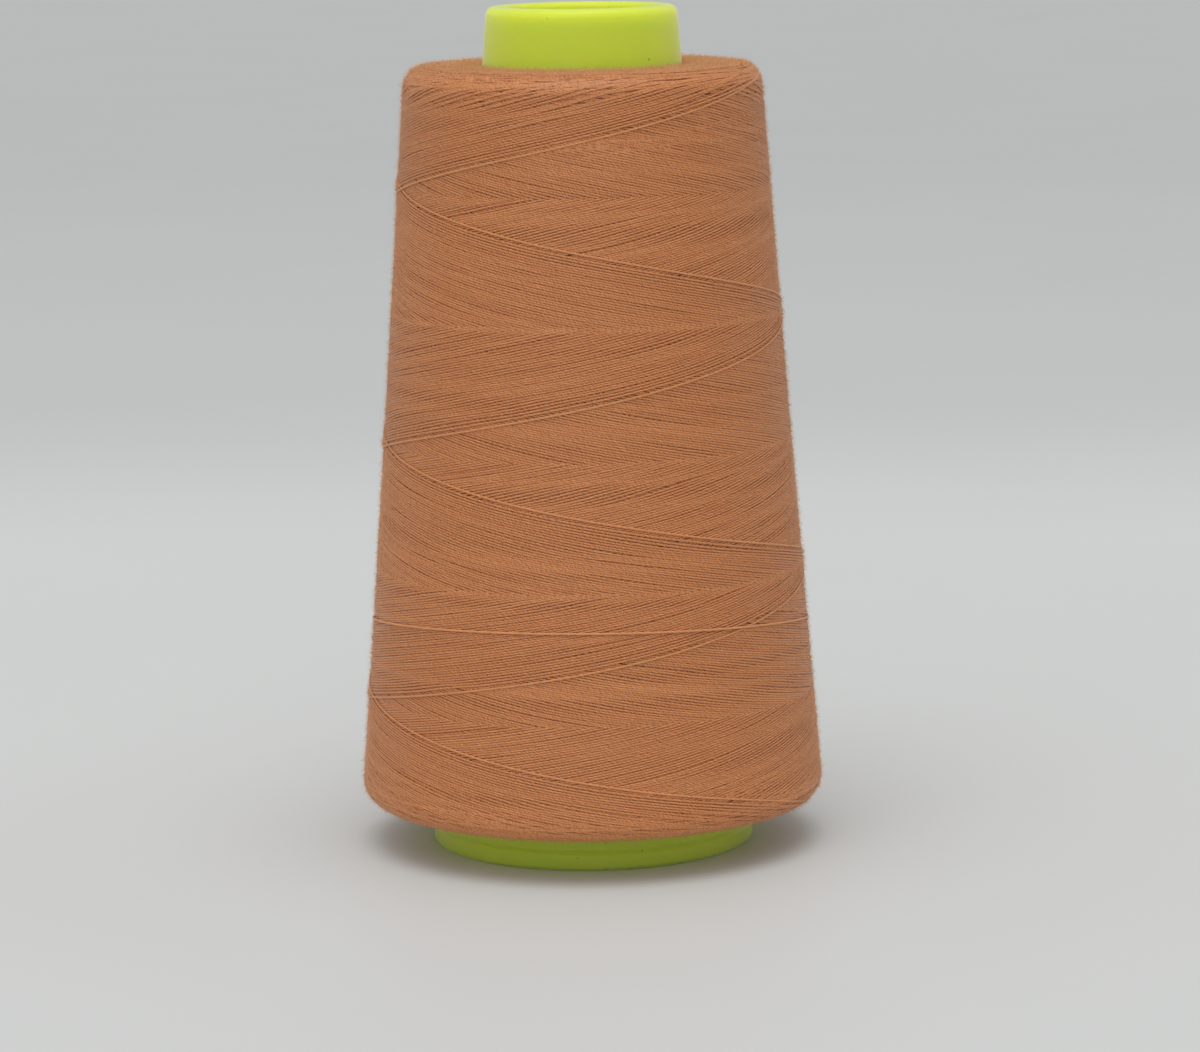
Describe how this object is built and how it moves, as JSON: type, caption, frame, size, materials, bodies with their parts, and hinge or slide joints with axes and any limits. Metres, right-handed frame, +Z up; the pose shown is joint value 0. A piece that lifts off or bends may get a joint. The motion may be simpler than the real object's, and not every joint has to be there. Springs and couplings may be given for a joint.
{
  "type": "cone of sewing thread",
  "caption": "Tapered plastic cone with a rounded open nose and a grooved foot, holding a thick cross-wound package of sewing thread.",
  "frame": {"origin": "centre of the flat ring that the cone stands on", "axes": "+Z up along the cone's axis, from the foot to the nose; X and Y are alike"},
  "size_m": [0.063, 0.0627, 0.115],
  "materials": {
    "cone_plastic": "satin, slightly translucent moulded polypropylene in fluorescent yellow-green",
    "thread": "matt spun polyester thread in a warm tan orange"
  },
  "bodies": {
    "root": {"plastic_cone": "cone_plastic", "thread_package": "thread", "outer_winding": "thread"}
  },
  "joints": []
}
